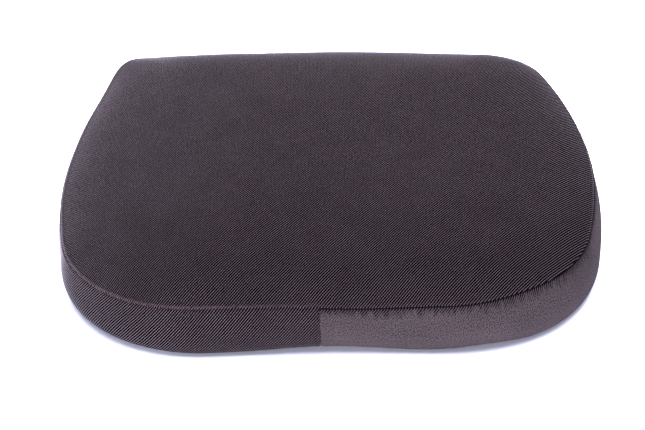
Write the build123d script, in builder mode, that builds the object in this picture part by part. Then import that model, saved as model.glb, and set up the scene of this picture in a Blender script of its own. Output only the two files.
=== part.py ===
"""Foam seat cushion with a zipped, removable cloth cover.

A moulded foam block sits in a thin liner and a cover sewn from panels: a crowned top, a side
band in two cloths, a two-strip gusset across the back with a coil zip between the strips, and
a base panel. Millimetres, +Z up, front towards -Y. The origin is the centre of the base.
"""

import os
from math import cos, exp, radians, sin

from build123d import *

# Overall size, over the zip slider at the back
width = 450
depth = 400
height = 70

# Plan outline: straight front and back, bowed sides, wide front corners, tighter back ones
bail_reach = 3.5
front_y = -depth / 2
back_y = depth / 2 - bail_reach
widest_y = -18
front_corner_x = 193
back_corner_x = 178
front_corner_radius = 123
back_corner_radius = 59

# Side profile, from the base up: rolled edge, upright band, band leaning in to the top seam
base_roll = 9
base_roll_step_angles = range(0, 91, 15)
upright_top = 24
seam_height = 44
seam_inset = 7
lean_power = 1.6
lean_steps = 4

# Crown inside the top seam: a larger fullness rises faster at the seam and is flatter on top
crown_fullness = 6.4
crown_step_angles = range(90, 0, -6)

# Cloth and liner
cloth = 1.2
liner_cloth = 0.6
cover_gap = 0.3
liner_gap = 0.1
base_seam_inset = 14
front_join_x = -8
gusset_half = 125

# Zip, lying along X in the middle of the upright part of the back
zip_z = 16
zip_gap_half = 3.5
zip_slit_half = 0.5
tape_thickness = 0.6
tape_half = 6.5
tape_end_gap = 1
coil_half = 115
coil_pitch = 2
coil_wire = 1.3
coil_width = 2.4
coil_height = 1.1
stop_length = 2
stop_height = 1.0
stop_gap = 1

# Slider: two plates and a thin web between the coils, and an arched bail for the pull tab
slider_x = 106
slider_length = 10
slider_nose_width = 8.4
slider_tail_width = 6.6
slider_clearance = 0.3
outer_plate = 1.2
inner_plate = 0.9
web_length = 3
web_width = 0.5
bail_length = 6.4
bail_width = 1.8
bail_bar = 0.7
slider_corner = 1.2

# Pull tab, hinged on a pin that passes under the bail
pin_radius = 0.45
pin_reach = 2.25
tab_length = 26
tab_width = 6.4
tab_thickness = 1.0
tab_window_length = 3.8
tab_window_width = 3.2
tab_hole_length = 8
tab_hole_width = 2.6
tab_hole_centre = 17
tab_edge = 0.25
metal_round = 0.2

# Hollow that the zip presses into the foam and the liner
relief_half_height = 7.2
relief_depth = cloth + tape_thickness + slider_clearance + inner_plate + 0.4
relief_margin = 3


def outline(z, inset=0.0, shrink=1.0):
    """Plan outline at height z, drawn in by inset and then shrunk about the middle."""
    with BuildSketch(Plane.XY.offset(z)) as plan:
        with BuildLine():
            Line((-back_corner_x, back_y), (back_corner_x, back_y))
            ThreePointArc((back_corner_x, back_y), (width / 2, widest_y), (front_corner_x, front_y))
            Line((front_corner_x, front_y), (-front_corner_x, front_y))
            ThreePointArc(
                (-front_corner_x, front_y), (-width / 2, widest_y), (-back_corner_x, back_y)
            )
        make_face()
        fillet(plan.vertices().group_by(Axis.Y)[-1], back_corner_radius)
        fillet(plan.vertices().group_by(Axis.Y)[0], front_corner_radius)
        if inset:
            offset(amount=-inset, mode=Mode.REPLACE)
        if shrink != 1:
            scale(by=shrink)
    return plan.sketch


def crown_rise(shrink):
    """Height of the crown above the top seam, from 0 at shrink 1 to the full rise at shrink 0."""
    fall = 1 - exp(-crown_fullness * (1 - shrink**2) / 2)
    return (height - seam_height) * fall / (1 - exp(-crown_fullness / 2))


def cushion_form(inset):
    """The whole cushion as one solid, with every face drawn in by inset."""
    roll = base_roll - inset
    lean_start = upright_top - inset
    seam = seam_height - inset
    roll_angles = [radians(angle) for angle in base_roll_step_angles]
    lean_fractions = [step / lean_steps for step in range(lean_steps + 1)]
    shrinks = [sin(radians(angle)) for angle in crown_step_angles]
    rolled_edge = [
        outline(inset + roll * (1 - cos(angle)), inset + roll * (1 - sin(angle)))
        for angle in roll_angles
    ]
    leaning_band = [
        outline(
            lean_start + fraction * (seam - lean_start),
            inset + seam_inset * fraction**lean_power,
        )
        for fraction in lean_fractions
    ]
    with BuildPart() as form:
        loft(rolled_edge + leaning_band, ruled=True)
        loft(
            [outline(seam + crown_rise(shrink), inset + seam_inset, shrink) for shrink in shrinks],
            ruled=True,
        )
    return form.part


def filling_form(inset):
    """The same solid with the hollow under the zip, which keeps the liner's wall even."""
    extra = inset - cloth - cover_gap
    with BuildPart() as form:
        add(cushion_form(inset))
        with BuildSketch(Plane.XZ.offset(-back_y)):
            with Locations((0, zip_z)):
                Rectangle(
                    2 * (gusset_half + relief_margin + extra), 2 * (relief_half_height + extra)
                )
        extrude(amount=relief_depth + extra, mode=Mode.SUBTRACT)
    return form.part


# Filling

with BuildPart() as foam_core:
    add(filling_form(cloth + cover_gap + liner_cloth + liner_gap))

with BuildPart() as inner_liner:
    add(filling_form(cloth + cover_gap))
    add(filling_form(cloth + cover_gap + liner_cloth), mode=Mode.SUBTRACT)

# Cover

with BuildPart() as bottom_panel:
    extrude(outline(0, base_seam_inset), amount=cloth)

with BuildPart() as cover_shell:
    add(cushion_form(0))
    add(cushion_form(cloth), mode=Mode.SUBTRACT)

with BuildPart() as top_panel:
    add(cover_shell.part)
    split(bisect_by=Plane.XY.offset(seam_height), keep=Keep.TOP)

with BuildPart() as side_band:
    add(cover_shell.part)
    split(bisect_by=Plane.XY.offset(seam_height), keep=Keep.BOTTOM)
    add(bottom_panel.part, mode=Mode.SUBTRACT)


def band_piece(front_edge_x, back_edge_x, side_x):
    """The stretch of side band that runs round one side, from a front join to a back join."""
    with BuildPart() as piece:
        add(side_band.part)
        with BuildSketch():
            with BuildLine():
                Polyline(
                    (front_edge_x, front_y),
                    (side_x, front_y),
                    (side_x, back_y),
                    (back_edge_x, back_y),
                    (back_edge_x, 0),
                    (front_edge_x, 0),
                    close=True,
                )
            make_face()
        extrude(amount=height, mode=Mode.INTERSECT)
    return piece.part


def gusset_strip(low_z, high_z):
    """One strip of the back gusset, between two heights."""
    with BuildPart() as strip:
        add(side_band.part)
        with BuildSketch(Plane.XZ):
            with Locations((0, (low_z + high_z) / 2)):
                Rectangle(2 * gusset_half, high_z - low_z)
        extrude(amount=-depth / 2, mode=Mode.INTERSECT)
    return strip.part


with BuildPart() as left_band:
    add(band_piece(front_join_x, -gusset_half, -width / 2))

with BuildPart() as right_band:
    add(band_piece(front_join_x, gusset_half, width / 2))

with BuildPart() as back_band_upper:
    add(gusset_strip(zip_z + zip_gap_half, seam_height))

with BuildPart() as back_band_lower:
    add(gusset_strip(0, zip_z - zip_gap_half))

# Zip, with its tapes behind the strips and its coils in the gap between them

tape_face_y = back_y - cloth


def zip_tape(side):
    """One tape; side is +1 for the upper tape and -1 for the lower."""
    with BuildPart() as tape:
        with BuildSketch(Plane.XZ.offset(-tape_face_y)):
            with Locations((0, zip_z + side * (zip_slit_half + tape_half) / 2)):
                Rectangle(2 * (gusset_half - tape_end_gap), tape_half - zip_slit_half)
        extrude(amount=tape_thickness)
    return tape.part


def zip_coil(side):
    """One row of coil turns, standing on the outer face of its tape."""
    with BuildPart() as coil:
        with BuildSketch(Plane.XZ.offset(-tape_face_y)):
            with Locations((0, zip_z + side * (zip_slit_half + coil_width / 2))):
                with GridLocations(coil_pitch, 0, int(2 * coil_half / coil_pitch), 1):
                    SlotOverall(coil_width, coil_wire, rotation=90)
        extrude(amount=-coil_height)
    return coil.part


with BuildPart() as zip_tape_upper:
    add(zip_tape(1))

with BuildPart() as zip_tape_lower:
    add(zip_tape(-1))

with BuildPart() as zip_coil_upper:
    add(zip_coil(1))

with BuildPart() as zip_coil_lower:
    add(zip_coil(-1))

stop_centre = coil_half + stop_gap + stop_length / 2

with BuildPart() as zip_top_stops:
    with BuildSketch(Plane.XZ.offset(-tape_face_y)):
        with Locations((stop_centre, zip_z)):
            with GridLocations(0, 2 * zip_slit_half + coil_width, 1, 2):
                RectangleRounded(stop_length, coil_width, stop_length / 4)
    extrude(amount=-stop_height)

with BuildPart() as zip_bottom_stop:
    with BuildSketch(Plane.XZ.offset(-tape_face_y)):
        with Locations((-stop_centre, zip_z)):
            RectangleRounded(stop_length, 2 * (zip_slit_half + coil_width), stop_length / 4)
    extrude(amount=-stop_height)

# Slider

outer_plate_y = back_y + slider_clearance
inner_plate_y = tape_face_y - tape_thickness - slider_clearance


def slider_plate(face_y, thickness):
    """One plate of the slider, wider at the nose that leads when the zip closes."""
    with BuildPart() as plate:
        with BuildSketch(Plane.XZ.offset(-face_y)) as shape:
            with Locations((slider_x, zip_z)):
                Polygon(
                    (-slider_length / 2, -slider_tail_width / 2),
                    (slider_length / 2, -slider_nose_width / 2),
                    (slider_length / 2, slider_nose_width / 2),
                    (-slider_length / 2, slider_tail_width / 2),
                    align=None,
                )
            fillet(shape.vertices(), slider_corner)
        extrude(amount=-thickness)
        fillet(plate.faces().filter_by(Axis.Y).edges(), metal_round)
    return plate.part


with BuildPart() as zip_slider:
    add(slider_plate(outer_plate_y, outer_plate))
    add(slider_plate(inner_plate_y - inner_plate, inner_plate))
    with BuildSketch(Plane.XZ.offset(-inner_plate_y)):
        with Locations((slider_x + (slider_length - web_length) / 2 - slider_corner, zip_z)):
            Rectangle(web_length, web_width)
    extrude(amount=-(outer_plate_y - inner_plate_y))
    bail_height = bail_reach - slider_clearance - outer_plate
    with BuildSketch(Plane.XY.offset(zip_z - bail_width / 2)) as bail_profile:
        with Locations((slider_x, outer_plate_y + outer_plate + bail_height / 2)):
            Rectangle(bail_length, bail_height)
        fillet(bail_profile.vertices().group_by(Axis.Y)[-1], slider_corner)
        with Locations((slider_x, outer_plate_y + outer_plate + (bail_height - bail_bar) / 2)):
            Rectangle(bail_length - 2 * bail_bar, bail_height - bail_bar, mode=Mode.SUBTRACT)
    extrude(amount=bail_width)

# Pull tab, lying flat and pointing back along the chain

pin_y = back_y + pin_reach

with BuildPart() as zip_pull_tab:
    with BuildSketch(Plane.XZ.offset(-(pin_y - tab_thickness / 2))):
        with Locations((slider_x - tab_length / 2, zip_z)):
            RectangleRounded(tab_length, tab_width, tab_width / 2 - tab_edge)
        with Locations((slider_x - (pin_radius + tab_window_length) / 2, zip_z)):
            Rectangle(pin_radius + tab_window_length, tab_window_width, mode=Mode.SUBTRACT)
        with Locations((slider_x - tab_hole_centre, zip_z)):
            SlotOverall(tab_hole_length, tab_hole_width, mode=Mode.SUBTRACT)
    extrude(amount=-tab_thickness)
    fillet(zip_pull_tab.faces().filter_by(Axis.Y).edges(), metal_round)
    with BuildSketch(Plane.XY.offset(zip_z - tab_width / 2)):
        with Locations((slider_x, pin_y)):
            Circle(pin_radius)
    extrude(amount=tab_width)

pieces = {
    "foam_core": foam_core,
    "inner_liner": inner_liner,
    "top_panel": top_panel,
    "left_band": left_band,
    "right_band": right_band,
    "back_band_upper": back_band_upper,
    "back_band_lower": back_band_lower,
    "bottom_panel": bottom_panel,
    "zip_tape_upper": zip_tape_upper,
    "zip_tape_lower": zip_tape_lower,
    "zip_coil_upper": zip_coil_upper,
    "zip_coil_lower": zip_coil_lower,
    "zip_top_stops": zip_top_stops,
    "zip_bottom_stop": zip_bottom_stop,
    "zip_slider": zip_slider,
    "zip_pull_tab": zip_pull_tab,
}

os.makedirs("parts", exist_ok=True)
for name, piece in pieces.items():
    piece.part.label = name
    export_step(piece.part, f"parts/{name}.step")
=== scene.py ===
"""Visual model of the zipped foam seat cushion.

The cover is one surface, worked out from a few driving sizes and puffed up by a cloth
simulation, then cut along its seams into panels with real thickness. Shapes are worked out in
millimetres, front towards -Y, and meshes are made in metres.
"""

import math

import bpy
import numpy as np
from mathutils import Matrix, Vector


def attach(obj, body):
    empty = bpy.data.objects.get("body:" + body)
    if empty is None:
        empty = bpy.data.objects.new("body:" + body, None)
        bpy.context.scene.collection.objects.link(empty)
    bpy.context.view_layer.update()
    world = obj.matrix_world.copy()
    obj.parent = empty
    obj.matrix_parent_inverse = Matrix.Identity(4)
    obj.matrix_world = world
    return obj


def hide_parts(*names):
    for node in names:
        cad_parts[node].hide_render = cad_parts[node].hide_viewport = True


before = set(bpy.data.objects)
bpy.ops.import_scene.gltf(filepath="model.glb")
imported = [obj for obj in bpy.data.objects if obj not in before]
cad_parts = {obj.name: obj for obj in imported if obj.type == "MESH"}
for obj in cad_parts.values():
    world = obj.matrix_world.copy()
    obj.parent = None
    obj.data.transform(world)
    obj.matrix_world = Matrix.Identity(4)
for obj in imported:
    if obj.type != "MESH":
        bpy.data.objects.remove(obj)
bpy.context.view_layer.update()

MM = 0.001

# Plan outline, as the CAD part has it
HALF_WIDTH = 225.0
FRONT_Y = -200.0
BACK_Y = 196.5
SIDE_CENTRE = (-297.1, -20.0)
SIDE_RADIUS = 522.1
FRONT_RADIUS = 123.0
BACK_RADIUS = 59.0

# Side profile
BASE_INSET = 17.0
BULGE_HEIGHT = 20.0
BULGE_POWER = 2.5
SEAM_HEIGHT = 45.0
LEAN_POWER = 1.65
HEIGHT = 73.0
CROWN_FULLNESS = 6.4

# Where the band's top seam lies inside the outline: an even inset, deeper at the front, and a
# drift towards the left at the front and towards the right at the back
SEAM_INSET = 6.0
FRONT_EXTRA_INSET = 1.8
FRONT_DRIFT = -5.8
BACK_DRIFT = 5.0

# The foam's own slight set: a skew of the front, corners that stand out or in, a back edge that
# bows above the zip, and a front that is tucked in and lifted near its middle
FRONT_SKEW = 3.0
FRONT_LEFT_SET = 2.5
FRONT_RIGHT_SET = 0.3
BACK_LEFT_SET = 5.5
BACK_RIGHT_SET = -2.0
# Makes a corner's set whole where the shares of the way to its two edges multiply to 0.6
CORNER_SET_GAIN = 2.8
# Shares of the half width between which the back corners' set comes in
BACK_SET_FROM, BACK_SET_TO = 0.52, 0.8
BACK_BOW = 10.8
BACK_BOW_WIDTH = 0.5
BACK_BOW_FROM_Z, BACK_BOW_TO_Z = 26, 42
# Places where the outline stands out a little further: x, y, width, movement and rise
LOCAL_SETS = (
    (-182.0, 178.0, 19.0, 2.5, 8.0, 2.5),
    (-105.0, 182.0, 45.0, 0.0, 3.0, 0.0),
    (-208.0, 128.0, 34.0, 2.5, 0.0, 0.0),
    (192.0, 160.0, 28.0, -1.5, 0.5, 0.3),
    (-222.0, -15.0, 75.0, -3.0, 0.0, 0.0),
    (222.0, -5.0, 75.0, 2.0, 0.0, 0.0),
)
LOCAL_RISE_FROM_Z, LOCAL_RISE_TO_Z = 20, 44
# Along the front: centre, width, how far the lower band is tucked in there, and lifted
FRONT_TUCKS = ((0.0, 56.0, 6.8, 2.6), (128.0, 34.0, 4.4, 2.2))
# Waves of the front seam: centre, width and height
SEAM_WAVES = ((24.0, 45.0, -1.8), (160.0, 40.0, 2.4), (-80.0, 35.0, -0.4), (-158.0, 28.0, -0.6))

# Band joins and zip, close to the CAD part's
FRONT_JOIN_X = -8.0
JOIN_SLANT = 4.5
JOIN_REACH = 60
GUSSET_HALF = 122.5
ZIP_Z = 16.0
ZIP_GAP_HALF = 3.5
# Beyond the gusset's ends, where the cloth starts to leave the zip and where it is free of it
ZIP_HOLD, ZIP_FREE = 4, 40

# Cloth thickness, and how far the liner and the foam lie inside the cover
CLOTH = 1.2
LINER_INSET = CLOTH + 0.4
FOAM_INSET = LINER_INSET + 0.7
SEAM_ALLOWANCE_DEPTH = 2.2
SEAM_ALLOWANCE_WIDTH = 4
ZIP_HOLLOW_HALF = 124.0
ZIP_HOLLOW_DEPTH = 3.0

# Seams: groove, soft roll beside it, and the small pulls of the stitches
GROOVE_DEPTH, GROOVE_WIDTH = 0.75, 1.1
ROLL_FROM_SEAM, ROLL_WIDTH = 2.6, 1.5
BAND_ROLL = 0.2
TOP_ROLL = 0.4
CUT_EDGE_DEPTH, CUT_EDGE_WIDTH = 0.5, 0.7
PUCKER_PITCHES = (5.3, 7.9, 13.0, 23.0)
PUCKER_HEIGHT = 0.06
PUCKER_REACH = 6.0
# Slope of the top near its seam: distance along the cloth for a distance in plan
TOP_EDGE_SLOPE = 1.35
# Distance from a seam given to cloth that has none near it
FAR = 50.0

# Grip dots on the base, and stitches along the zip
DOT_HEIGHT = 0.5
DOT_RADIUS = 1.7
DOT_PITCH = 10.0
DOT_MARGIN = 9.0
STITCH_LENGTH = 2.4
STITCH_PITCH = 3.1
STITCH_RADIUS = 0.26
STITCH_FROM_EDGE = 2.2
STITCH_FROM_END = 4
STITCH_PROUD = 0.04

# Mesh densities, and the angle in degrees that makes an edge sharp
SIM_SIDE = 88
SIM_BAND_ROWS = 12
FINE_SIDE = 150
BASE_SIDE = 72
BAND_STEP = 2.0
INNER_STEP = 2.0
CLOTH_STEP = 2.0
CLOTH_MARGIN = 10
SHARP_ANGLE = 55

# Cloth simulation, the most that it may move the cloth, and the passes that even it out
SIM_FRAMES = 20
SIM_PRESSURE = 4.0
SIM_CAP = 2.2
TOP_EVENING = 40
BAND_EVENING = 6

# Twill: cycles per millimetre across the cloth and along it
TWILL_ACROSS = 0.424
TWILL_ALONG = 0.348


# ---- outline


def outline_table(step=0.5):
    """The widest outline, anticlockwise from the front middle: length, points with their outward
    normals, and the lengths at the middles of the right-hand corners."""
    side_x, side_y = SIDE_CENTRE

    def corner_arc(y, radius):
        """Centre of a corner's arc, and the angle at which it touches the side's."""
        x = side_x + math.sqrt((SIDE_RADIUS - radius) ** 2 - (y - side_y) ** 2)
        return x, y, math.atan2(y - side_y, x - side_x)

    front_x, front_y, front_angle = corner_arc(FRONT_Y + FRONT_RADIUS, FRONT_RADIUS)
    back_x, back_y, back_angle = corner_arc(BACK_Y - BACK_RADIUS, BACK_RADIUS)
    arcs = [
        (front_x, front_y, FRONT_RADIUS, -math.pi / 2, front_angle),
        (side_x, side_y, SIDE_RADIUS, front_angle, back_angle),
        (back_x, back_y, BACK_RADIUS, back_angle, math.pi / 2),
    ]
    rows = [(x, FRONT_Y, 0.0, -1.0) for x in np.arange(0, front_x, step)]
    for centre_x, centre_y, radius, start, end in arcs:
        count = int(radius * (end - start) / step)
        for angle in np.linspace(start, end, count, endpoint=False):
            normal = (math.cos(angle), math.sin(angle))
            rows.append((centre_x + radius * normal[0], centre_y + radius * normal[1], *normal))
    rows += [(x, BACK_Y, 0.0, 1.0) for x in np.arange(back_x, 0, -step)]
    right = np.array(rows + [(0.0, BACK_Y, 0.0, 1.0)])
    left = right[-2::-1] * [-1, 1, -1, 1]
    points = np.vstack([right, left])
    length = np.concatenate([[0], np.cumsum(np.hypot(*np.diff(points[:, :2], axis=0).T))])
    middles = []
    for centre_x, centre_y, radius, start, end in (arcs[0], arcs[2]):
        angle = (start + end) / 2
        corner = (centre_x + radius * math.cos(angle), centre_y + radius * math.sin(angle))
        nearest = np.argmin(np.hypot(right[:, 0] - corner[0], right[:, 1] - corner[1]))
        middles.append(length[nearest])
    return length, points, middles


OUTLINE_LENGTH, OUTLINE, (FRONT_CORNER, BACK_CORNER) = outline_table()
PERIMETER = OUTLINE_LENGTH[-1]
# Arc length at the corners of the square that is mapped onto the plan, from the front left one
CORNERS = [
    -FRONT_CORNER,
    FRONT_CORNER,
    BACK_CORNER,
    PERIMETER - BACK_CORNER,
    PERIMETER - FRONT_CORNER,
]


def at_length(s):
    """Point and outward normal on the widest outline at arc length s from the front middle."""
    s = np.mod(s, PERIMETER)
    return [np.interp(s, OUTLINE_LENGTH, OUTLINE[:, k]) for k in range(4)]


def length_of(q):
    """Arc length of a place q on the square's border, 0 to 4 from its front left corner."""
    return np.interp(q, range(5), CORNERS)


def place_of(s):
    """The place q on the square's border of arc length s."""
    s = np.mod(s + FRONT_CORNER, PERIMETER) - FRONT_CORNER
    return np.interp(s, CORNERS, range(5))


def smooth_step(value, low, high):
    """Nought below low and one above high, with a smooth step between."""
    share = np.clip((value - low) / (high - low), 0, 1)
    return share * share * (3 - 2 * share)


def bump_at(value, centre, width):
    """A smooth bell of height one."""
    return np.exp(-(((value - centre) / width) ** 2))


# ---- cover surface


def seam_line(s):
    """The top seam: x and y at arc length s."""
    x, y, normal_x, normal_y = at_length(s)
    inset = SEAM_INSET + FRONT_EXTRA_INSET * np.clip(-normal_y, 0, 1) ** 2
    drift = BACK_DRIFT + (FRONT_DRIFT - BACK_DRIFT) * (1 - y / BACK_Y) / 2
    return x - inset * normal_x + drift, y - inset * normal_y


def past_gusset(x):
    """Nought beside the zip, and one beyond its ends."""
    return smooth_step(np.abs(x), GUSSET_HALF + ZIP_HOLD, GUSSET_HALF + ZIP_FREE)


def zip_calm(points):
    """One away from the zip and nought beside it, where the tape holds the cloth still."""
    x, y, z = np.moveaxis(points, -1, 0)
    above = smooth_step(z, ZIP_Z + 6, ZIP_Z + 24)
    front = (y < 0).astype(float)
    return np.maximum(1 - (1 - past_gusset(x)) * (1 - above), front)


def settled(points):
    """Points of the even shape moved by the foam's slight set."""
    x, y, z = np.moveaxis(points, -1, 0)
    across, along = x / HALF_WIDTH, y / BACK_Y
    shift_x = FRONT_SKEW * (1 - along) / 2
    shift_y = np.zeros_like(x)
    shift_z = np.zeros_like(x)
    for side, end, amount in (
        (-1, -1, FRONT_LEFT_SET),
        (1, -1, FRONT_RIGHT_SET),
        (-1, 1, BACK_LEFT_SET),
        (1, 1, BACK_RIGHT_SET),
    ):
        near = (np.clip(side * across, 0, 1) * np.clip(end * along, 0, 1)) ** 2 * CORNER_SET_GAIN
        if end > 0:
            near *= smooth_step(side * across, BACK_SET_FROM, BACK_SET_TO)
        shift_x += side * amount * near
        shift_y += end * amount * near
    upper = smooth_step(z, LOCAL_RISE_FROM_Z, LOCAL_RISE_TO_Z)
    for at_x, at_y, width, move_x, move_y, rise in LOCAL_SETS:
        near = bump_at(x, at_x, width) * bump_at(y, at_y, width)
        shift_x += move_x * near
        shift_y += move_y * near
        shift_z += rise * near * upper
    bow = BACK_BOW * np.clip(along, 0, 1) ** 3 * bump_at(across, 0, BACK_BOW_WIDTH)
    shift_y += bow * smooth_step(z, BACK_BOW_FROM_Z, BACK_BOW_TO_Z)
    wave = sum(rise * bump_at(x, at, width) for at, width, rise in SEAM_WAVES)
    # The waves stay near the front, and near the seam's height
    shift_z += wave * bump_at(along, -0.95, 0.25) * bump_at(z, SEAM_HEIGHT, 16)
    shift = np.stack([shift_x, shift_y, shift_z], axis=-1)
    return points + shift * zip_calm(points)[..., None]


def profile_table(count=400):
    """The band's section: length up from the base seam, inset of the roll, share of the lean, z."""
    roll = np.linspace(0, np.pi / 2, count)
    roll_inset = BASE_INSET * (1 - np.sin(roll) ** (2 / BULGE_POWER))
    roll_z = BULGE_HEIGHT * (1 - np.cos(roll) ** (2 / BULGE_POWER))
    rise = np.linspace(0, 1, count)[1:]
    inset = np.concatenate([roll_inset, np.zeros(count - 1)])
    lean = np.concatenate([np.zeros(count), rise**LEAN_POWER])
    z = np.concatenate([roll_z, BULGE_HEIGHT + (SEAM_HEIGHT - BULGE_HEIGHT) * rise])
    across = inset - SEAM_INSET * lean
    length = np.concatenate([[0], np.cumsum(np.hypot(np.diff(across), np.diff(z)))])
    return length, inset, lean, z


PROFILE_LENGTH, PROFILE_INSET, PROFILE_LEAN, PROFILE_Z = profile_table()
BAND_LENGTH = PROFILE_LENGTH[-1]


def band_surface(s, height):
    """The band at arc length s and height along its section, from the base seam up."""
    x, y, normal_x, normal_y = at_length(s)
    inset = np.interp(height, PROFILE_LENGTH, PROFILE_INSET)
    lean = np.interp(height, PROFILE_LENGTH, PROFILE_LEAN)
    z = np.interp(height, PROFILE_LENGTH, PROFILE_Z)
    seam_x, seam_y = seam_line(s)
    # Round the zip the band stands upright, in front of the tapes
    along_zip = 1 - past_gusset(x)
    inset = inset * (1 - np.clip(normal_y, 0, 1) ** 4 * along_zip * smooth_step(z, 1, 9))
    # The lower half of the front is tucked in and lifted a little in the middle
    front = np.clip(-normal_y, 0, 1) ** 2
    tuck = sum(depth * bump_at(x, at, width) for at, width, depth, _ in FRONT_TUCKS)
    lift = sum(rise * bump_at(x, at, width) for at, width, _, rise in FRONT_TUCKS)
    inset = inset + tuck * front * bump_at(height, 8, 16)
    lift = lift * front * bump_at(height, 6, 12)
    band_x = x - inset * normal_x + lean * (seam_x - x)
    band_y = y - inset * normal_y + lean * (seam_y - y)
    return settled(np.stack([band_x, band_y, z + lift], axis=-1))


def crown_height(share):
    """Rise of the top above its seam; share is 1 at the seam and 0 in the middle."""
    fall = np.exp(-CROWN_FULLNESS * (1 - share**2) / 2)
    return (HEIGHT - SEAM_HEIGHT) * (1 - fall) / (1 - math.exp(-CROWN_FULLNESS / 2))


def seam_polar(count=1440):
    """Radius of the top seam about the middle of the top, for each angle."""
    x, y = seam_line(np.linspace(0, PERIMETER, count, endpoint=False))
    angle = np.arctan2(y, x - TOP_MIDDLE_X)
    order = np.argsort(angle)
    angle = angle[order]
    radius = np.hypot(x - TOP_MIDDLE_X, y)[order]
    return (
        np.concatenate([[angle[-1] - 2 * np.pi], angle, [angle[0] + 2 * np.pi]]),
        np.concatenate([[radius[-1]], radius, [radius[0]]]),
    )


TOP_MIDDLE_X = (FRONT_DRIFT + BACK_DRIFT) / 2
SEAM_ANGLES, SEAM_RADII = seam_polar()


def share_at(x, y):
    """How far a point is from the middle of the top, as a share of the way to the seam."""
    radius = np.interp(np.arctan2(y, x - TOP_MIDDLE_X), SEAM_ANGLES, SEAM_RADII)
    return np.minimum(np.hypot(x - TOP_MIDDLE_X, y) / radius, 1)


def square_border(across, along):
    """Place q on the border of the square, seen from its middle, for a point of the square."""
    reach = np.maximum(np.maximum(np.abs(across), np.abs(along)), 1e-9)
    a, b = across / reach, along / reach
    on_edge = [edge >= 1 - 1e-9 for edge in (-b, a, b, -a)]
    q = [(a + 1) / 2, 1 + (b + 1) / 2, 2 + (1 - a) / 2, 3 + (1 - b) / 2]
    return np.select(on_edge, q), reach


def plan_of_square(across, along, border):
    """Maps the square from -1 to 1 onto the plan inside border(s), square in the middle."""
    q, reach = square_border(across, along)
    x, y = border(length_of(q))[:2]
    middle_x = np.mean([x.max(), x.min()])
    half_x, half_y = (x.max() - x.min()) / 2, (y.max() - y.min()) / 2
    soft = 0.5 + 0.5 * reach**2
    square_x = middle_x + half_x * across * 0.9
    square_y = half_y * along * 0.9
    round_x = middle_x + (x - middle_x) * reach
    round_y = y * reach
    return square_x + (round_x - square_x) * soft, square_y + (round_y - square_y) * soft


def even_top(across, along):
    """The crowned top, before the foam's set, at a point of the square from -1 to 1."""
    x, y = plan_of_square(across, along, seam_line)
    return np.stack([x, y, SEAM_HEIGHT + crown_height(share_at(x, y))], axis=-1)


def top_surface(across, along):
    """The crowned top at a point of the square from -1 to 1."""
    return settled(even_top(across, along))


def from_top_seam(across, along):
    """Border place of a point of the square, its plan x and y, and its distance from the seam."""
    q, _ = square_border(across, along)
    seam_x, seam_y = seam_line(length_of(q))
    x, y, _ = np.moveaxis(even_top(across, along), -1, 0)
    return q, x, y, np.hypot(seam_x - x, seam_y - y)


def square_grid(side, edge_pull=0.0):
    """Across and along for a grid over the square; edge_pull crowds its lines at the border."""
    line = np.linspace(-1, 1, side + 1)
    line = line + edge_pull * np.sin(np.pi * line) / np.pi
    return np.meshgrid(line, line)


# ---- meshes


def mesh_piece(name, vertices, faces, cloth=None):
    """A smooth mesh object, with cloth coordinates in millimetres if it is cut from cloth."""
    mesh = bpy.data.meshes.new(name)
    mesh.from_pydata(np.asarray(vertices).tolist(), [], faces)
    mesh.update()
    mesh.polygons.foreach_set("use_smooth", [True] * len(mesh.polygons))
    mesh.set_sharp_from_angle(angle=math.radians(SHARP_ANGLE))
    if cloth is not None:
        attribute = mesh.attributes.new("cloth", "FLOAT_VECTOR", "POINT")
        attribute.data.foreach_set("vector", cloth.astype(np.float32).ravel())
    piece = bpy.data.objects.new(name, mesh)
    bpy.context.scene.collection.objects.link(piece)
    return piece


def grid_quads(rows, columns, wrap=False, start=0):
    """Faces of a grid of vertices numbered row by row."""
    quads = []
    for row in range(rows - 1):
        for column in range(columns if wrap else columns - 1):
            after = (column + 1) % columns
            low, high = start + row * columns, start + (row + 1) * columns
            quads.append((low + column, low + after, high + after, high + column))
    return quads


def border_indices(rows, columns):
    """Vertices of a grid's border, anticlockwise from its front left corner."""
    grid = np.arange(rows * columns).reshape(rows, columns)
    return np.concatenate([grid[0, :-1], grid[:-1, -1], grid[-1, :0:-1], grid[:0:-1, 0]]).tolist()


# ---- cloth simulation


def run_cloth(points, quads, pinned):
    """Lets pressure swell the sheet between its pinned points, and gives the new points."""
    sheet = mesh_piece("swelling", points * MM, quads)
    group = sheet.vertex_groups.new(name="pinned")
    group.add([int(index) for index in pinned], 1.0, "REPLACE")
    cloth = sheet.modifiers.new("cloth", "CLOTH").settings
    cloth.quality = 6
    cloth.mass = 0.3
    cloth.vertex_group_mass = "pinned"
    cloth.use_pressure = True
    cloth.uniform_pressure_force = SIM_PRESSURE
    cloth.effector_weights.gravity = 0.0
    cloth.tension_stiffness = 40.0
    cloth.compression_stiffness = 40.0
    cloth.shear_stiffness = 20.0
    cloth.bending_stiffness = 12.0
    cloth.shrink_min = 0.004
    scene = bpy.context.scene
    for number in range(1, SIM_FRAMES + 1):
        scene.frame_set(number)
    evaluated = sheet.evaluated_get(bpy.context.evaluated_depsgraph_get())
    moved = np.empty(len(points) * 3, np.float32)
    evaluated.data.vertices.foreach_get("co", moved)
    scene.frame_set(1)
    bpy.data.meshes.remove(sheet.data)
    return moved.reshape(-1, 3).astype(float) / MM


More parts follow.
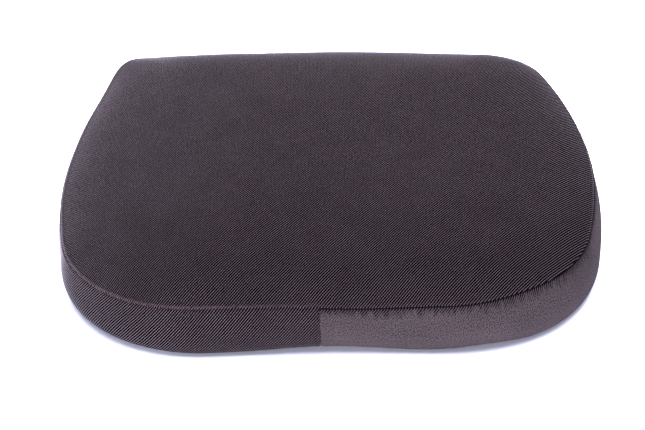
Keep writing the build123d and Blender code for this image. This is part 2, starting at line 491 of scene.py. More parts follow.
def evened(shift, passes, wrap=False):
    """Evens out a grid of vectors, so that no sharp fold stays; its edges keep still."""
    for _ in range(passes):
        beside = (np.roll(shift, 1, axis=1) + np.roll(shift, -1, axis=1)) / 8
        above = (np.roll(shift, 1, axis=0) + np.roll(shift, -1, axis=0)) / 8
        even = shift / 2 + beside + above
        even[[0, -1]] = shift[[0, -1]]
        if not wrap:
            even[:, [0, -1]] = shift[:, [0, -1]]
        shift = even
    return shift


def swelling():
    """Displacement of the top, on a square grid, and of the band, on a grid round the cushion."""
    side = SIM_SIDE
    across, along = square_grid(side)
    top = top_surface(across, along).reshape(-1, 3)
    border = border_indices(side + 1, side + 1)
    places = np.arange(4 * side) / side
    heights = np.linspace(BAND_LENGTH, 0, SIM_BAND_ROWS + 1)[1:]
    band = np.stack([band_surface(length_of(places), height) for height in heights])
    points = np.vstack([top, band.reshape(-1, 3)])
    quads = grid_quads(side + 1, side + 1)
    first = len(top)
    for column in range(4 * side):
        after = (column + 1) % (4 * side)
        quads.append((first + column, first + after, border[after], border[column]))
    lower = grid_quads(SIM_BAND_ROWS, 4 * side, wrap=True, start=first)
    quads += [quad[::-1] for quad in lower]
    pinned = border + list(range(len(points) - 4 * side, len(points)))
    moved = run_cloth(points, quads, pinned)
    shift = moved - points
    size = np.linalg.norm(shift, axis=1, keepdims=True)
    shift *= SIM_CAP * np.tanh(size / SIM_CAP) / np.maximum(size, 1e-6)
    top_shift = shift[:first].reshape(side + 1, side + 1, 3)
    band_shift = np.vstack([shift[border][None], shift[first:].reshape(-1, 4 * side, 3)])
    return evened(top_shift, TOP_EVENING), evened(band_shift, BAND_EVENING, wrap=True)


def cubic_weights(t):
    """The four Catmull-Rom weights at t between the middle two samples."""
    return [
        ((-t + 2) * t - 1) * t / 2,
        ((3 * t - 5) * t * t + 2) / 2,
        ((-3 * t + 4) * t + 1) * t / 2,
        (t - 1) * t * t / 2,
    ]


def sample(field, row, column, wrap=False):
    """Smoothly reads a grid of vectors at fractional rows and columns."""
    rows, columns = field.shape[:2]
    row0, column0 = np.floor(row).astype(int), np.floor(column).astype(int)
    row_weights = cubic_weights(row - row0)
    column_weights = cubic_weights(column - column0)
    total = 0
    for i in range(4):
        at_row = np.clip(row0 + i - 1, 0, rows - 1)
        for j in range(4):
            at_column = column0 + j - 1
            at_column = at_column % columns if wrap else np.clip(at_column, 0, columns - 1)
            weight = (row_weights[i] * column_weights[j])[..., None]
            total = total + weight * field[at_row, at_column]
    return total


TOP_SHIFT, BAND_SHIFT = swelling()


def swollen_band(places, s, height):
    """The band without and with its swelling, at border places, lengths s and heights."""
    points = band_surface(s, height)
    rows = (1 - height / BAND_LENGTH) * SIM_BAND_ROWS
    shift = sample(BAND_SHIFT, rows, places * SIM_SIDE, wrap=True)
    return points, points + shift * zip_calm(points)[..., None]


# ---- fine surfaces


def grid_normals(points):
    """Unit normals of a grid of points, to the left of its rows and up its columns."""
    by_row = np.gradient(points, axis=0)
    by_column = np.gradient(points, axis=1)
    normal = np.cross(by_column, by_row)
    return normal / np.maximum(np.linalg.norm(normal, axis=-1, keepdims=True), 1e-9)


def seam_relief(distance, roll=BAND_ROLL):
    """Depth below the smooth surface near a sewn seam: a groove, then a soft roll."""
    groove = GROOVE_DEPTH * bump_at(distance, 0, GROOVE_WIDTH)
    return groove - roll * bump_at(distance, ROLL_FROM_SEAM, ROLL_WIDTH)


def pucker(along, distance, seed):
    """Small uneven pulls of the stitches, which fade away from the seam."""
    rng = np.random.default_rng(seed)
    wave = 0
    for pitch in PUCKER_PITCHES:
        wave = wave + rng.uniform(0.6, 1) * np.sin(
            2 * np.pi * along / pitch + rng.uniform(0, 2 * np.pi)
        )
    return PUCKER_HEIGHT * wave * np.exp(-distance / PUCKER_REACH)


def cloth_lengths():
    """Cloth coordinates of the top: lengths across and along from its middle, on an even grid."""
    margin = CLOTH_MARGIN
    line_x = np.arange(-HALF_WIDTH - margin, HALF_WIDTH + margin + 1, CLOTH_STEP)
    line_y = np.arange(FRONT_Y - margin, BACK_Y + margin + 1, CLOTH_STEP)
    x, y = np.meshgrid(line_x, line_y)
    slope_y, slope_x = np.gradient(crown_height(share_at(x, y)), CLOTH_STEP)
    across = np.cumsum(np.sqrt(1 + slope_x**2), axis=1) * CLOTH_STEP
    along = np.cumsum(np.sqrt(1 + slope_y**2), axis=0) * CLOTH_STEP
    middle_column = np.argmin(np.abs(line_x))
    middle_row = np.argmin(np.abs(line_y))
    across -= across[:, middle_column : middle_column + 1]
    along -= along[middle_row : middle_row + 1, :]
    return line_x, line_y, np.stack([across, along], axis=-1)


def cloth_place(value, line):
    """Fractional place of a value on one of the even lines of the cloth grid."""
    return (np.clip(value, line[0], line[-1] - CLOTH_STEP) - line[0]) / CLOTH_STEP


CLOTH_X, CLOTH_Y, CLOTH_COORDINATES = cloth_lengths()


def top_grid():
    """Points and cloth coordinates of the top panel."""
    across, along = square_grid(FINE_SIDE, edge_pull=0.85)
    points = top_surface(across, along)
    normals = grid_normals(points)
    rows = (along + 1) / 2 * SIM_SIDE
    columns = (across + 1) / 2 * SIM_SIDE
    points = points + sample(TOP_SHIFT, rows, columns)
    q, x, y, distance = from_top_seam(across, along)
    distance = TOP_EDGE_SLOPE * distance
    # The roll is fullest on the left, beside the twill band
    roll = TOP_ROLL * (1 - 0.7 * smooth_step(x, -70, 20))
    relief = seam_relief(distance, roll) + pucker(length_of(q), distance, 3)
    points = points - normals * relief[..., None]
    cloth = sample(CLOTH_COORDINATES, cloth_place(y, CLOTH_Y), cloth_place(x, CLOTH_X))
    return points, np.concatenate([cloth, -distance[..., None]], axis=-1)


def height_at(z):
    """Height along the band's section at height z above the floor."""
    return np.interp(z, PROFILE_Z, PROFILE_LENGTH)


def seam_steps(low, high, step):
    """Even steps from low to high, with closer ones at both ends, where the seams are."""
    close = np.array([0, 0.45, 0.9, 1.4, 2.0, 2.8, 3.8])
    count = max(int((high - low - 10) / step), 2)
    return np.concatenate([low + close, np.linspace(low + 5, high - 5, count), high - close[::-1]])


FRONT_JOIN = PERIMETER + FRONT_JOIN_X
GUSSET_START = PERIMETER / 2 - GUSSET_HALF
GUSSET_END = PERIMETER / 2 + GUSSET_HALF


def near_joins(column, joins):
    """One at the given joins of the bands, and nought away from them."""
    return sum(bump_at(column, join, JOIN_REACH) for join in joins)


def band_grid(start, end, low, high):
    """Points and cloth coordinates of a stretch of band, cut where it borders on the zip."""
    columns = seam_steps(start, end, BAND_STEP)
    heights = seam_steps(low, high, BAND_STEP)
    column, height = np.meshgrid(columns, heights)
    lean = np.interp(height, PROFILE_LENGTH, PROFILE_LEAN)
    front_slant = JOIN_SLANT * near_joins(column, (FRONT_JOIN, FRONT_JOIN - PERIMETER))
    back_slant = BACK_DRIFT * near_joins(column, (GUSSET_START, GUSSET_END))
    s = column + lean * (front_slant + back_slant)
    even, points = swollen_band(place_of(s), s, height)
    normals = grid_normals(even)
    sewn, cut = [column - start, end - column], []
    (sewn if low == 0 else cut).append(height - low)
    (sewn if high == BAND_LENGTH else cut).append(high - height)
    relief = sum(seam_relief(distance) for distance in sewn)
    relief = relief + sum(CUT_EDGE_DEPTH * bump_at(distance, 0, CUT_EDGE_WIDTH) for distance in cut)
    from_top = BAND_LENGTH - height
    relief = relief + pucker(s, from_top, 5) + pucker(s, height, 7)
    points = points - normals * relief[..., None]
    points[..., 2] = np.maximum(points[..., 2], 0)
    x, y, normal_x, normal_y = at_length(s)
    seam_x, seam_y = seam_line(s)
    sideways = lean * ((seam_y - y) * normal_x - (seam_x - x) * normal_y)
    return points, np.stack([s + sideways, height, from_top], axis=-1)


def thick_sheet(name, grid):
    """A closed piece of cloth: the grid outside, the same grid set in by the thickness inside."""
    outer, cloth = grid
    rows, columns = outer.shape[:2]
    inner = outer - grid_normals(outer) * CLOTH
    vertices = np.vstack([outer.reshape(-1, 3), inner.reshape(-1, 3)]) * MM
    quads = grid_quads(rows, columns)
    count = rows * columns
    quads += [tuple(count + index for index in reversed(quad)) for quad in quads]
    rim = border_indices(rows, columns)
    for here, after in zip(rim, rim[1:] + rim[:1]):
        quads.append((here, here + count, after + count, after))
    return mesh_piece(name, vertices, quads, np.vstack([cloth.reshape(-1, 3)] * 2))


def flat_base(side, z):
    """The base inside its seam, as a flat grid at height z."""

    def base_seam(s):
        return np.moveaxis(band_surface(s, np.zeros_like(s)), -1, 0)

    across, along = square_grid(side)
    x, y = plan_of_square(across, along, base_seam)
    points = np.stack([x, y, np.full_like(x, z)], axis=-1)
    return points, np.stack([x, y, np.full_like(x, FAR)], axis=-1)


def bottom_grid():
    """The base panel, facing down, just above the tips of its grip dots."""
    points, cloth = flat_base(BASE_SIDE, DOT_HEIGHT)
    return points[:, ::-1], cloth[:, ::-1]


# ---- materials


class Shader:
    """A node material under construction; each method adds a node and gives its output."""

    def __init__(self, name):
        self.material = bpy.data.materials.new(name)
        self.material.use_nodes = True
        self.nodes = self.material.node_tree.nodes
        self.links = self.material.node_tree.links
        self.surface = next(node for node in self.nodes if node.type == "BSDF_PRINCIPLED")

    def put(self, socket, value):
        if isinstance(value, bpy.types.NodeSocket):
            self.links.new(value, socket)
        elif value is not None:
            socket.default_value = value

    def add(self, kind, inputs=(), **settings):
        """Adds a node and gives its outputs; inputs holds values or links, by name or number."""
        node = self.nodes.new("ShaderNode" + kind)
        for key, value in settings.items():
            setattr(node, key, value)
        for key, value in dict(inputs).items():
            self.put(node.inputs[key], value)
        return node.outputs

    def math(self, operation, *values):
        return self.add("Math", enumerate(values), operation=operation)[0]

    def product(self, value, *others):
        for other in others:
            value = self.math("MULTIPLY", value, other)
        return value

    def smooth(self, value, low, high):
        """Nought below low, one above high, with a smooth step between."""
        inputs = {"Value": value, "From Min": low, "From Max": high}
        return self.add("MapRange", inputs, interpolation_type="SMOOTHSTEP")["Result"]

    def remap(self, value, low, high):
        """Takes a value from 0 to 1 to the range from low to high."""
        return self.add("MapRange", {"Value": value, "To Min": low, "To Max": high})["Result"]

    def mix(self, factor, first, second):
        inputs = {"Factor": factor, "A": first, "B": second}
        return self.add("Mix", inputs, data_type="RGBA")["Result"]

    def scale_colour(self, colour, factor):
        return self.add("VectorMath", {0: colour, "Scale": factor}, operation="SCALE")[0]

    def stretch(self, vector, by):
        return self.add("VectorMath", {0: vector, 1: by}, operation="MULTIPLY")[0]

    def split(self, vector):
        return self.add("SeparateXYZ", {0: vector})

    def cloth_place(self):
        """Place on the cloth in millimetres with the distance from its top seam, and without."""
        cloth = self.add("Attribute", attribute_name="cloth")["Vector"]
        return cloth, self.stretch(cloth, (1.0, 1.0, 0.0))

    def object_place(self):
        return self.add("TexCoord")["Object"]

    def noise(self, vector, scale, detail=2.0, roughness=0.5):
        inputs = {"Vector": vector, "Scale": scale, "Detail": detail, "Roughness": roughness}
        return self.add("TexNoise", inputs)["Fac"]

    def wave(self, phase):
        """A cosine from 0 to 1 with a period of one."""
        swing = self.math("COSINE", self.math("MULTIPLY", phase, 2 * math.pi))
        return self.math("MULTIPLY_ADD", swing, 0.5, 0.5)

    def weave(self, across, along, pitch):
        """Plain weave of square threads: how far the upper one stands out, from 0 to 1."""
        warp = self.wave(self.math("MULTIPLY", across, pitch))
        weft = self.wave(self.math("MULTIPLY", along, pitch))
        return self.math("MAXIMUM", warp, weft)

    def bump(self, height, distance, strength):
        inputs = {"Height": height, "Distance": distance, "Strength": strength}
        return self.add("Bump", inputs)["Normal"]

    def finish(self, colour, roughness, normal=None, **constants):
        inputs = {"Base_Color": colour, "Roughness": roughness, "Normal": normal, **constants}
        for key, value in inputs.items():
            self.put(self.surface.inputs[key.replace("_", " ")], value)
        return self.material


def twill_thread(shader, flat):
    """How much of the light thread shows, from 0 in the valleys to 1 on the wales."""
    across, along, _ = shader.split(flat)
    wander = shader.remap(shader.noise(flat, 0.018, 3.0), -0.6, 0.6)
    jitter = shader.remap(shader.noise(flat, 0.45), -0.12, 0.12)
    shaken = shader.math("ADD", wander, jitter)
    lift = shader.math("MULTIPLY", along, TWILL_ALONG)
    reach = shader.math("MULTIPLY", across, TWILL_ACROSS)
    wale = shader.wave(shader.math("ADD", shader.math("SUBTRACT", reach, lift), shaken))
    bead = shader.wave(shader.math("ADD", shader.math("ADD", reach, lift), shaken))
    uneven = shader.remap(shader.noise(flat, 0.9, 2.0, 0.6), 0.35, 1.65)
    return shader.product(shader.math("POWER", wale, 8.0), shader.remap(bead, 0.4, 1.0), uneven)


def twill_material():
    """Dark twill with light slanting wales, a little uneven in tone and hue."""
    shader = Shader("twill_cloth")
    cloth, flat = shader.cloth_place()
    thread = twill_thread(shader, flat)
    warmth = shader.noise(flat, 0.045)
    valley = shader.mix(warmth, (0.0017, 0.0007, 0.0014, 1), (0.0024, 0.0007, 0.0013, 1))
    ridge = shader.mix(warmth, (0.168, 0.143, 0.163, 1), (0.182, 0.140, 0.156, 1))
    colour = shader.mix(thread, valley, ridge)
    # Painted highlight: the roll beside the top panel's seam is coloured warm and pale in patches,
    # most at the left front, where the left light catches it
    across, along, from_seam = shader.split(cloth)
    outer_side = shader.smooth(from_seam, -0.3, -1.3)
    roll = shader.product(shader.smooth(from_seam, -3.4, -2.6), outer_side)
    left_front = shader.product(
        shader.smooth(across, 10.0, -130.0), shader.smooth(along, -60.0, -130.0)
    )
    # Noise patches that break up the painted highlight on the roll
    rubbed_and_sheen_patches = shader.smooth(shader.noise(flat, 0.35, 3.0, 0.8), 0.3, 0.7)
    roll = shader.product(roll, rubbed_and_sheen_patches, shader.remap(left_front, 0.1, 0.8))
    colour = shader.mix(roll, colour, (0.066, 0.042, 0.049, 1))
    blotch = shader.remap(shader.noise(flat, 0.03, 4.0, 0.6), 0.75, 1.25)
    fibre = shader.noise(flat, 3.0, 3.0, 0.7)
    lint = shader.remap(shader.noise(flat, 0.5), 0.55, 1.45)
    wear = shader.product(blotch, shader.remap(fibre, 0.6, 1.4), lint)
    colour = shader.scale_colour(colour, wear)
    height = shader.math("MULTIPLY_ADD", fibre, 0.25, thread)
    normal = shader.bump(height, 0.3 * MM, 0.6)
    return shader.finish(
        colour,
        shader.remap(thread, 0.95, 0.8),
        normal,
        Sheen_Weight=0.36,
        Sheen_Roughness=0.2,
        Sheen_Tint=(0.93, 0.85, 0.99, 1),
        Specular_IOR_Level=0.0,
    )


def plain_material():
    """Brushed lighter cloth: fine nap, with dark twill strokes that show along the top seam."""
    shader = Shader("plain_cloth")
    cloth, flat = shader.cloth_place()
    across, along, from_seam = shader.split(cloth)
    thread = twill_thread(shader, flat)
    long_strokes = shader.stretch(cloth, (1.0, 0.25, 0.0))
    ragged = shader.remap(shader.noise(long_strokes, 0.22, 4.0, 0.85), -15.0, 15.0)
    fade = shader.smooth(shader.math("ADD", from_seam, ragged), 0.5, 9.0)
    grain = shader.noise(flat, 0.95, 3.0, 0.8)
    weave = shader.math("SUBTRACT", shader.weave(across, along, 1.25), 0.68)
    rib = shader.math("MULTIPLY_ADD", thread, 0.12, shader.math("MULTIPLY_ADD", weave, 0.2, grain))
    mottled = shader.smooth(rib, 0.40, 0.62)
    nap = shader.noise(shader.stretch(cloth, (0.35, 1.0, 0.0)), 0.05, 3.0, 0.6)
    body = shader.mix(mottled, (0.0085, 0.0062, 0.0072, 1), (0.084, 0.0662, 0.0715, 1))
    strands = shader.math("MINIMUM", shader.math("MULTIPLY", thread, 2.2), 1.0)
    strokes = shader.mix(strands, (0.003, 0.0018, 0.0026, 1), (0.090, 0.071, 0.080, 1))
    colour = shader.mix(fade, strokes, body)
    seam_line_dark = shader.smooth(from_seam, 0.2, 1.8)
    colour = shader.mix(seam_line_dark, (0.003, 0.002, 0.003, 1), colour)
    colour = shader.scale_colour(colour, shader.remap(nap, 0.75, 1.25))
    height = shader.math("MULTIPLY_ADD", shader.math("SUBTRACT", 1.0, fade), thread, mottled)
    normal = shader.bump(height, 0.2 * MM, 0.6)
    return shader.finish(
        colour,
        0.9,
        normal,
        Sheen_Weight=0.03,
        Sheen_Roughness=0.3,
        Sheen_Tint=(0.95, 0.9, 0.96, 1),
        Specular_IOR_Level=0.0,
    )


def base_material():
    """Plain-woven base cloth."""
    shader = Shader("base_cloth")
    _, flat = shader.cloth_place()
    across, along, _ = shader.split(flat)
    weave = shader.weave(across, along, 1.1)
    worn = shader.noise(flat, 0.03, 4.0, 0.6)
    colour = shader.mix(weave, (0.010, 0.009, 0.011, 1), (0.036, 0.033, 0.037, 1))
    colour = shader.scale_colour(colour, shader.remap(worn, 0.75, 1.3))
    normal = shader.bump(weave, 0.15 * MM, 0.6)
    return shader.finish(colour, 0.92, normal, Sheen_Weight=0.2, Specular_IOR_Level=0.2)


def grip_material():
    """Silicone grip dots, slightly scuffed."""
    shader = Shader("grip_dots")
    scuff = shader.noise(shader.object_place(), 900.0, 3.0, 0.6)
    colour = shader.mix(scuff, (0.018, 0.017, 0.019, 1), (0.045, 0.043, 0.047, 1))
    normal = shader.bump(scuff, 0.05 * MM, 0.4)
    return shader.finish(colour, shader.remap(scuff, 0.42, 0.62), normal, Specular_IOR_Level=0.45)


def foam_material():
    """Open-cell moulded foam, pale and a little yellowed."""
    shader = Shader("foam")
    place = shader.object_place()
    cells = shader.noise(place, 900.0, 4.0, 0.7)
    age = shader.noise(place, 9.0, 3.0)
    fresh = shader.mix(cells, (0.62, 0.56, 0.40, 1), (0.84, 0.80, 0.66, 1))
    colour = shader.mix(shader.smooth(age, 0.4, 0.8), fresh, (0.70, 0.58, 0.34, 1))
    normal = shader.bump(cells, 0.6 * MM, 0.8)
    return shader.finish(colour, 0.95, normal, Specular_IOR_Level=0.2)


def liner_material():
    """Thin dark knit, with its rows of loops."""
    shader = Shader("liner_knit")
    place = shader.object_place()
    across, along, up = shader.split(place)
    row = shader.wave(shader.math("MULTIPLY", shader.math("ADD", along, up), 620.0))
    loop = shader.wave(shader.math("MULTIPLY", across, 800.0))
    knit = shader.product(row, loop)
    pill = shader.noise(place, 260.0, 3.0, 0.6)
    colour = shader.mix(knit, (0.020, 0.019, 0.020, 1), (0.060, 0.056, 0.060, 1))
    colour = shader.scale_colour(colour, shader.remap(pill, 0.85, 1.1))
    normal = shader.bump(knit, 0.2 * MM, 0.6)
    return shader.finish(colour, 0.95, normal, Sheen_Weight=0.15, Specular_IOR_Level=0.2)


def tape_material():
    """Woven zip tape, with a herringbone rib along its length."""
    shader = Shader("zip_tape")
    place = shader.object_place()
    across, _, up = shader.split(place)
    zigzag = shader.math("PINGPONG", shader.math("MULTIPLY", up, 420.0), 1.0)
    rib = shader.wave(shader.math("ADD", shader.math("MULTIPLY", across, 1400.0), zigzag))
    fuzz = shader.noise(place, 2400.0, 2.0, 0.6)
    colour = shader.mix(rib, (0.010, 0.009, 0.010, 1), (0.042, 0.037, 0.042, 1))
    colour = shader.scale_colour(colour, shader.remap(fuzz, 0.7, 1.3))
    normal = shader.bump(rib, 0.12 * MM, 0.7)
    return shader.finish(colour, 0.9, normal, Sheen_Weight=0.2, Specular_IOR_Level=0.25)


def nylon_material():
    """Satin moulded nylon of the coil."""
    shader = Shader("zip_nylon")
    drawn = shader.noise(shader.stretch(shader.object_place(), (0.3, 1.0, 1.0)), 3000.0)
    colour = shader.mix(drawn, (0.012, 0.011, 0.0125, 1), (0.034, 0.030, 0.034, 1))
    normal = shader.bump(drawn, 0.03 * MM, 0.5)
    return shader.finish(colour, shader.remap(drawn, 0.4, 0.6), normal, Specular_IOR_Level=0.3)


def metal_material():
    """Dark lacquered zinc, with brighter rubbed patches and fine scratches."""
    shader = Shader("zip_metal")
    place = shader.object_place()
    scratch = shader.noise(shader.stretch(place, (0.25, 1.0, 1.0)), 5200.0, 3.0, 0.6)
    rubbed_and_sheen_patches = shader.smooth(shader.noise(place, 260.0), 0.45, 0.85)
    colour = shader.mix(rubbed_and_sheen_patches, (0.045, 0.042, 0.046, 1), (0.080, 0.075, 0.080, 1))
    normal = shader.bump(scratch, 0.015 * MM, 0.5)
    roughness = shader.math("MULTIPLY_ADD", scratch, 0.2, 0.24)
    return shader.finish(colour, roughness, normal, Metallic=0.85)


def thread_material():
    """Twisted sewing thread, a shade lighter than the cloth."""
    shader = Shader("sewing_thread")
    place = shader.object_place()
    across, _, up = shader.split(place)
    slant = shader.math("ADD", across, up)
    twist = shader.wave(shader.math("MULTIPLY", slant, 2600.0))
    colour = shader.mix(twist, (0.030, 0.024, 0.029, 1), (0.095, 0.080, 0.092, 1))
    normal = shader.bump(twist, 0.06 * MM, 0.6)
    return shader.finish(colour, 0.7, normal, Sheen_Weight=0.2, Specular_IOR_Level=0.3)


def floor_material():
    """Plain pale paper, very slightly mottled."""
    shader = Shader("floor")
    mottle = shader.noise(shader.object_place(), 3.0)
    colour = shader.mix(mottle, (0.76, 0.77, 0.90, 1), (0.79, 0.80, 0.93, 1))
    return shader.finish(colour, 0.9, Specular_IOR_Level=0.1)


TWILL = twill_material()
PLAIN = plain_material()
BASE = base_material()
GRIP = grip_material()
FOAM = foam_material()
LINER = liner_material()
TAPE = tape_material()
NYLON = nylon_material()
METAL = metal_material()
THREAD = thread_material()


def dress(piece, material, slot, *nodes):
    """Gives a piece its material and body, and hides the CAD nodes it stands for; slot is not used.
    """
    piece.data.materials.clear()
    piece.data.materials.append(material)
    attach(piece, "cushion")
    if nodes:
        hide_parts(*nodes)
    return piece


# ---- cover


ZIP_LOW = height_at(ZIP_Z - ZIP_GAP_HALF)
ZIP_HIGH = height_at(ZIP_Z + ZIP_GAP_HALF)
TWILL_CLOTH = (TWILL, "twill_cloth")
PLAIN_CLOTH = (PLAIN, "plain_cloth")
SIDE = (0, BAND_LENGTH)
GUSSET = (GUSSET_START, GUSSET_END)

top_panel = dress(thick_sheet("top_cover", top_grid()), *TWILL_CLOTH, "top_panel")
for name, node, cloth, ends, heights in (
    ("left_side_band", "left_band", TWILL_CLOTH, (GUSSET_END, FRONT_JOIN), SIDE),
    ("right_side_band", "right_band", PLAIN_CLOTH, (FRONT_JOIN - PERIMETER, GUSSET_START), SIDE),
    ("gusset_strip_upper", "back_band_upper", PLAIN_CLOTH, GUSSET, (ZIP_HIGH, BAND_LENGTH)),
    ("gusset_strip_lower", "back_band_lower", PLAIN_CLOTH, GUSSET, (0, ZIP_LOW)),
):
    dress(thick_sheet(name, band_grid(*ends, *heights)), *cloth, node)
dress(thick_sheet("base_cover", bottom_grid()), BASE, "base_cloth", "bottom_panel")


# ---- foam and liner


def inner_form(name, inset):
    """A closed form inside the cover: inset all round, more at the seams and behind the zip."""
    side = SIM_SIDE
    count = side + 1
    across, along = square_grid(side)
    top = top_surface(across, along) + TOP_SHIFT
    heights = np.arange(BAND_LENGTH - INNER_STEP, 1, -INNER_STEP)
    places, height = np.meshgrid(np.arange(4 * side) / side, heights)
    _, band = swollen_band(places, length_of(places), height)
    base, _ = flat_base(side, DOT_HEIGHT + CLOTH)
    points = np.vstack([top.reshape(-1, 3), band.reshape(-1, 3), base.reshape(-1, 3)])
    border = border_indices(side + 1, side + 1)
    first_band = count * count
    first_base = first_band + len(heights) * 4 * side
    faces = grid_quads(count, count)
    faces += [quad[::-1] for quad in grid_quads(count, count, start=first_base)]
    rings = [border]
    for start in range(first_band, first_base, 4 * side):
        rings.append(list(range(start, start + 4 * side)))
    rings.append([first_base + index for index in border])
    for upper, lower in zip(rings, rings[1:]):
        for here in range(4 * side):
            after = (here + 1) % (4 * side)
            faces.append((lower[here], lower[after], upper[after], upper[here]))
    piece = mesh_piece(name, points * MM, faces)
    normals = np.empty(len(points) * 3, np.float32)
    piece.data.vertices.foreach_get("normal", normals)
    x, y, z = points.T
    from_seam = np.concatenate([
        from_top_seam(across, along)[3].ravel(),
        BAND_LENGTH - height.ravel(),
        np.full(count * count, FAR),
    ])
    behind_zip = (y > 0) * np.clip((ZIP_HOLLOW_HALF - np.abs(x)) / 6, 0, 1)
    behind_zip = behind_zip * np.clip((13 - np.abs(z - ZIP_Z)) / 5, 0, 1)
    at_seam = SEAM_ALLOWANCE_DEPTH * bump_at(from_seam, 0, SEAM_ALLOWANCE_WIDTH)
    depth = inset + at_seam + ZIP_HOLLOW_DEPTH * behind_zip
    points = points - normals.reshape(-1, 3) * depth[:, None]
    piece.data.vertices.foreach_set("co", (points * MM).astype(np.float32).ravel())
    piece.data.update()
    return piece


dress(inner_form("liner_sock", LINER_INSET), LINER, "liner_knit", "inner_liner")
foam = dress(inner_form("foam_block", FOAM_INSET), FOAM, "foam", "foam_core")


# ---- grip dots and stitches


def joined(name, form, places):
    """One mesh of a form repeated: places holds an origin and three axes for each copy."""
    shape, faces = form
    count = len(shape)
    vertices = []
    all_faces = []
    for number, (origin, axes) in enumerate(places):
        vertices.append(origin + shape @ axes)
        all_faces += [tuple(number * count + index for index in face) for face in faces]
    return mesh_piece(name, np.vstack(vertices) * MM, all_faces)


def lathe(radii, heights, sides):
    """A closed round form about Z: rings of the given radii and heights between two end points."""
    angles = np.arange(sides) * 2 * np.pi / sides
    x, y = np.cos(angles), np.sin(angles)
    rings = [
        np.stack([radius * x, radius * y, np.full(sides, height)], axis=-1)
        for radius, height in zip(radii, heights[1:-1])
    ]
    shape = np.vstack([[[0, 0, heights[0]]], *rings, [[0, 0, heights[-1]]]])
    last = len(shape) - 1
    faces = []
    for k in range(sides):
        after = (k + 1) % sides
        faces.append((0, 1 + after, 1 + k))
        for ring in range(len(rings) - 1):
            low = 1 + ring * sides
            faces.append((low + k, low + after, low + sides + after, low + sides + k))
        low = 1 + (len(rings) - 1) * sides
        faces.append((low + k, low + after, last))
    return shape, faces


def dot_places():
    """Grip dots in a triangular pattern over the base, clear of its seam."""
    rows = []
    row_pitch = DOT_PITCH * math.sqrt(3) / 2
    outline_x, outline_y, normal_x, normal_y = at_length(np.linspace(0, PERIMETER, 720))
    inset = BASE_INSET + DOT_MARGIN
    edge_x, edge_y = outline_x - inset * normal_x, outline_y - inset * normal_y
    edge_angle = np.arctan2(edge_y, edge_x)
    edge_radius = np.hypot(edge_x, edge_y)
    for number, y in enumerate(np.arange(FRONT_Y, BACK_Y, row_pitch)):
        for x in np.arange(-HALF_WIDTH, HALF_WIDTH, DOT_PITCH) + (number % 2) * DOT_PITCH / 2:
            limit = np.interp(math.atan2(y, x), edge_angle, edge_radius, period=2 * np.pi)
            if math.hypot(x, y) < limit:
                rows.append((np.array([x, y, 0.0]), np.eye(3)))
    return rows


dot = lathe(
    [DOT_RADIUS * share for share in (0.62, 0.92, 1, 0.9)],
    [0.0, 0.04, 0.2, 0.45, 0.75, 0.8],
    12,
)
dress(joined("grip_dots", dot, dot_places()), GRIP, "base_cloth")


def stitch_places(height):
    """A straight row of stitches along the back at a height of the band's section."""
    s = np.arange(GUSSET_START + STITCH_FROM_END, GUSSET_END - STITCH_FROM_END, STITCH_PITCH)
    points = band_surface(s, np.full_like(s, height))
    _, _, normal_x, normal_y = at_length(s)
    rows = []
    for point, out_x, out_y in zip(points, normal_x, normal_y):
        out = np.array([out_x, out_y, 0.0])
        run = np.array([out_y, -out_x, 0.0])
        rows.append((point + STITCH_PROUD * out, np.stack([out, np.array([0, 0, 1.0]), run])))
    return rows


stitch = lathe(
    [STITCH_RADIUS * share for share in (0.7, 1, 1, 0.7)],
    [STITCH_LENGTH / 2 * share for share in (-1, -0.9, -0.6, 0.6, 0.9, 1)],
    8,
)
stitch_rows = stitch_places(ZIP_HIGH + STITCH_FROM_EDGE)
stitch_rows += stitch_places(ZIP_LOW - STITCH_FROM_EDGE)
dress(joined("gusset_stitches", stitch, stitch_rows), THREAD, "plain_cloth")


# ---- zip hardware on the CAD nodes

for node, material in {
    "zip_tape_upper": TAPE,
    "zip_tape_lower": TAPE,
    "zip_coil_upper": NYLON,
    "zip_coil_lower": NYLON,
    "zip_top_stops": METAL,
    "zip_bottom_stop": METAL,
    "zip_slider": METAL,
    "zip_pull_tab": METAL,
}.items():
    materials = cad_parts[node].data.materials
    if not len(materials):
        materials.append(material)
    for index in range(len(materials)):
        materials[index] = material

# ---- floor, light, camera

floor = mesh_piece("floor", [(-4, -4, 0), (4, -4, 0), (4, 4, 0), (-4, 4, 0)], [(0, 1, 2, 3)])
floor.data.materials.append(floor_material())


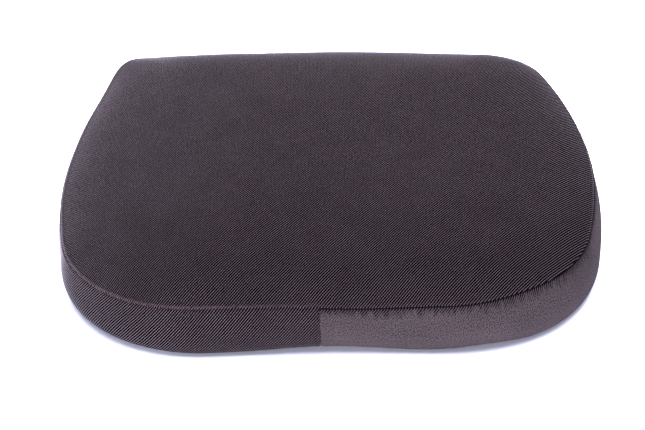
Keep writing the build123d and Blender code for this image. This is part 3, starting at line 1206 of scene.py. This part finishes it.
def soft_light(name, place, size, power, colour):
    """An area light aimed at the middle of the cushion; size is its width and height."""
    data = bpy.data.lights.new(name, "AREA")
    data.shape = "RECTANGLE"
    data.size, data.size_y = size
    data.energy = power
    data.color = colour
    light = bpy.data.objects.new(name, data)
    light.location = place
    light.rotation_euler = (-Vector(place)).to_track_quat("-Z", "Y").to_euler()
    bpy.context.scene.collection.objects.link(light)
    return light


soft_light("overhead", (0.3, 0.2, 2.3), (1.8, 1.8), 54.0, (1.0, 0.98, 0.96))
soft_light("back_rim", (0.0, 2.5, 0.6), (2.2, 0.9), 280.0, (1.0, 0.99, 0.98))
soft_light("left", (-2.3, 0.0, 0.05), (1.4, 0.08), 145.0, (0.80, 0.92, 1.0))
soft_light("front_fill", (-0.2, -2.1, 0.5), (1.1, 1.1), 42.0, (1.0, 0.97, 0.93))
wash = soft_light("floor_wash", (0.0, 0.0, 2.6), (3.0, 3.0), 300.0, (0.93, 0.95, 1.0))
floor_only = bpy.data.collections.new("floor_only")
floor_only.objects.link(floor)
wash.light_linking.receiver_collection = floor_only

world = bpy.data.worlds.new("studio")
world.use_nodes = True
world.node_tree.nodes["Background"].inputs["Color"].default_value = (0.68, 0.72, 1.0, 1)
world.node_tree.nodes["Background"].inputs["Strength"].default_value = 0.65
bpy.context.scene.world = world
bpy.context.scene.view_settings.view_transform = "Standard"

CAMERA_TURN = 1.0
CAMERA_ELEVATION = 33.57
CAMERA_ROLL = -1.14
CAMERA_DISTANCE = 2.748
CAMERA_AIM = (-0.0055, 0.0087, -0.0012)
LENS = 180.95

camera_data = bpy.data.cameras.new("camera")
camera_data.lens = LENS
camera_data.sensor_width = 36.0
camera_data.clip_end = 50.0
camera = bpy.data.objects.new("camera", camera_data)
turned = Matrix.Rotation(math.radians(CAMERA_TURN), 4, "Z")
tilted = Matrix.Rotation(math.radians(90 - CAMERA_ELEVATION), 4, "X")
back_off = Matrix.Translation((0, 0, CAMERA_DISTANCE))
rolled = Matrix.Rotation(math.radians(CAMERA_ROLL), 4, "Z")
camera.matrix_world = Matrix.Translation(CAMERA_AIM) @ turned @ tilted @ back_off @ rolled
bpy.context.scene.collection.objects.link(camera)
bpy.context.scene.camera = camera
